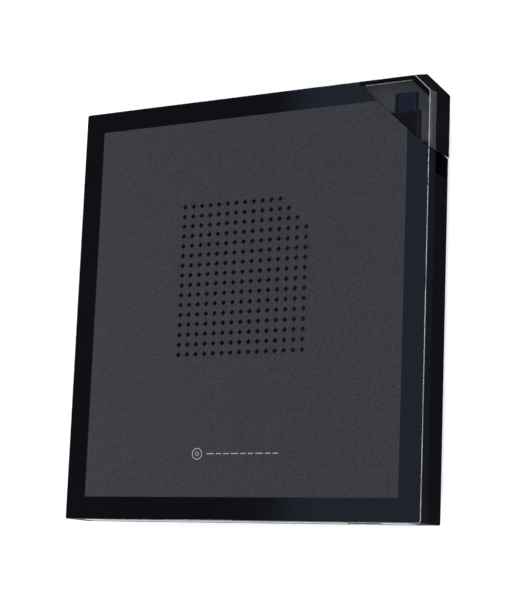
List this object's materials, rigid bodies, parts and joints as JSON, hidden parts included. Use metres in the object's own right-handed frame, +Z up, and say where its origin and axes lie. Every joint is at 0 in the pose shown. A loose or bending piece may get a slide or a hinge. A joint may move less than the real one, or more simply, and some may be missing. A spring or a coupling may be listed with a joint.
{
  "type": "external optical drive",
  "caption": "Slim square optical disc drive with a matte perforated lid panel, smoked corner cover over a stowed USB plug, cable groove round the base and a sliding disc tray.",
  "frame": {"origin": "on the table, under the centre of the housing's outline", "axes": "+Z up out of the lid, +Y to the rear wall, -Y the way the tray opens, +X to the right seen from the front"},
  "size_m": [0.1396, 0.1527, 0.0185],
  "materials": {
    "gloss_black": "high gloss black moulded plastic",
    "side_black": "satin black moulded plastic",
    "panel": "fine grained matte slate plastic",
    "smoked_clear": "smoked transparent polycarbonate, polished",
    "base": "matte black moulded plastic",
    "rubber": "black rubber",
    "cable": "soft black cable jacket",
    "overmould": "black moulded plug body",
    "plug_metal": "dark nickel plated steel",
    "screws": "zinc plated steel",
    "steel": "bright pressed steel sheet",
    "rail_steel": "rolled steel",
    "pcb": "green solder mask",
    "chips": "black chip packages",
    "connector": "black connector plastic",
    "flex": "amber film",
    "tray_plastic": "fine grained black plastic",
    "bezel": "gloss black plastic",
    "light": "frosted clear light pipe",
    "cover_plate": "black painted steel",
    "frame_metal": "die cast alloy",
    "copper": "enamelled copper coils on a steel plate",
    "hub": "grey moulded hub",
    "cradle": "grey moulded plate that grips the plug",
    "pad": "black rubber pad",
    "magnet": "ferrite ring",
    "rod": "ground steel",
    "sled": "die cast alloy",
    "lens": "coated moulded lens"
  },
  "bodies": {
    "housing": {"top_shell": "gloss_black", "top_panel": "panel", "corner_cover": "smoked_clear", "corner_skirt": "side_black", "plug_cradle": "cradle", "bottom_shell": "side_black", "base_plate": "base", "rubber_feet": "rubber", "base_screws": "screws", "shell_screws": "screws", "mount_screws": "screws", "usb_cable": "cable", "cable_gland": "rubber", "plug_overmould": "overmould", "plug_shell": "plug_metal", "plug_insert": "connector", "bridge_board": "pcb", "board_screws": "screws", "bridge_chips": "chips", "cable_header": "connector", "slimline_plug": "connector", "drive_socket": "connector", "case_pan": "steel", "case_cover": "steel", "ribbon_cable": "flex", "left_rail_guide": "rail_steel", "right_rail_guide": "rail_steel"},
    "left_rail": {"left_rail": "rail_steel"},
    "right_rail": {"right_rail": "rail_steel"},
    "tray": {"tray": "tray_plastic", "tray_bezel": "bezel", "light_pipe": "light", "front_board": "pcb", "front_switch": "chips", "tray_bottom_cover": "steel", "pickup_cover": "cover_plate", "cover_screws": "screws", "motor_stator": "copper", "traverse_frame": "frame_metal", "frame_dampers": "rubber", "damper_screws": "screws", "main_guide_rod": "rod", "sub_guide_rod": "rod", "sled_motor": "steel", "latch_solenoid": "copper", "tray_board": "pcb", "tray_chips": "chips"},
    "eject_button": {"eject_button": "bezel"},
    "spindle": {"turntable": "hub", "turntable_pad": "pad", "rotor_magnet": "magnet", "spindle_shaft": "rod"},
    "claw_1": {"clamp_claw_1": "hub"},
    "claw_2": {"clamp_claw_2": "hub"},
    "claw_3": {"clamp_claw_3": "hub"},
    "sled": {"pickup_sled": "sled"},
    "lens": {"lens_holder": "connector", "objective_lens": "lens"},
    "lead_screw": {"lead_screw": "rod"},
    "latch": {"latch_hook": "rail_steel"}
  },
  "joints": [
    {"name": "tray_slide", "type": "slide", "parent": "housing", "child": "tray", "axis": [0, -1, 0], "range_m": [0, 0.125]},
    {"name": "left_rail_slide", "type": "slide", "parent": "housing", "child": "left_rail", "axis": [0, -1, 0], "range_m": [0, 0.0625]},
    {"name": "right_rail_slide", "type": "slide", "parent": "housing", "child": "right_rail", "axis": [0, -1, 0], "range_m": [0, 0.0625]},
    {"name": "eject_button_press", "type": "slide", "parent": "tray", "child": "eject_button", "axis": [0, 1, 0], "range_m": [0, 0.0006], "stiffness_N_per_m": 600},
    {"name": "spindle_spin", "type": "hinge", "parent": "tray", "child": "spindle", "pos_m": [0, -0.01275, 0.012], "axis": [0, 0, 1], "continuous": true},
    {"name": "claw_1_press", "type": "slide", "parent": "spindle", "child": "claw_1", "axis": [0.7071, 0.7071, 0], "range_m": [0, 0.0005], "stiffness_N_per_m": 60},
    {"name": "claw_2_press", "type": "slide", "parent": "spindle", "child": "claw_2", "axis": [-0.9659, 0.2588, 0], "range_m": [0, 0.0005], "stiffness_N_per_m": 60},
    {"name": "claw_3_press", "type": "slide", "parent": "spindle", "child": "claw_3", "axis": [0.2588, -0.9659, 0], "range_m": [0, 0.0005], "stiffness_N_per_m": 60},
    {"name": "pickup_slide", "type": "slide", "parent": "tray", "child": "sled", "axis": [-0.7071, -0.7071, 0], "range_m": [0, 0.033]},
    {"name": "lens_focus", "type": "slide", "parent": "sled", "child": "lens", "axis": [0, 0, 1], "range_m": [-0.0003, 0.0003], "stiffness_N_per_m": 60},
    {"name": "lead_screw_turn", "type": "hinge", "parent": "tray", "child": "lead_screw", "pos_m": [-0.00884, -0.04634, 0.011], "axis": [-0.7071, -0.7071, 0], "range_deg": [0, 3960]},
    {"name": "latch_swing", "type": "hinge", "parent": "tray", "child": "latch", "pos_m": [-0.05, 0.039, 0.0095], "axis": [0, 0, 1], "range_deg": [-12, 0]}
  ],
  "couplings": [
    {"joint": "left_rail_slide", "follows": "tray_slide", "ratio": 0.5},
    {"joint": "right_rail_slide", "follows": "tray_slide", "ratio": 0.5},
    {"joint": "lead_screw_turn", "follows": "pickup_slide", "rad_per_m": 2094.4}
  ]
}
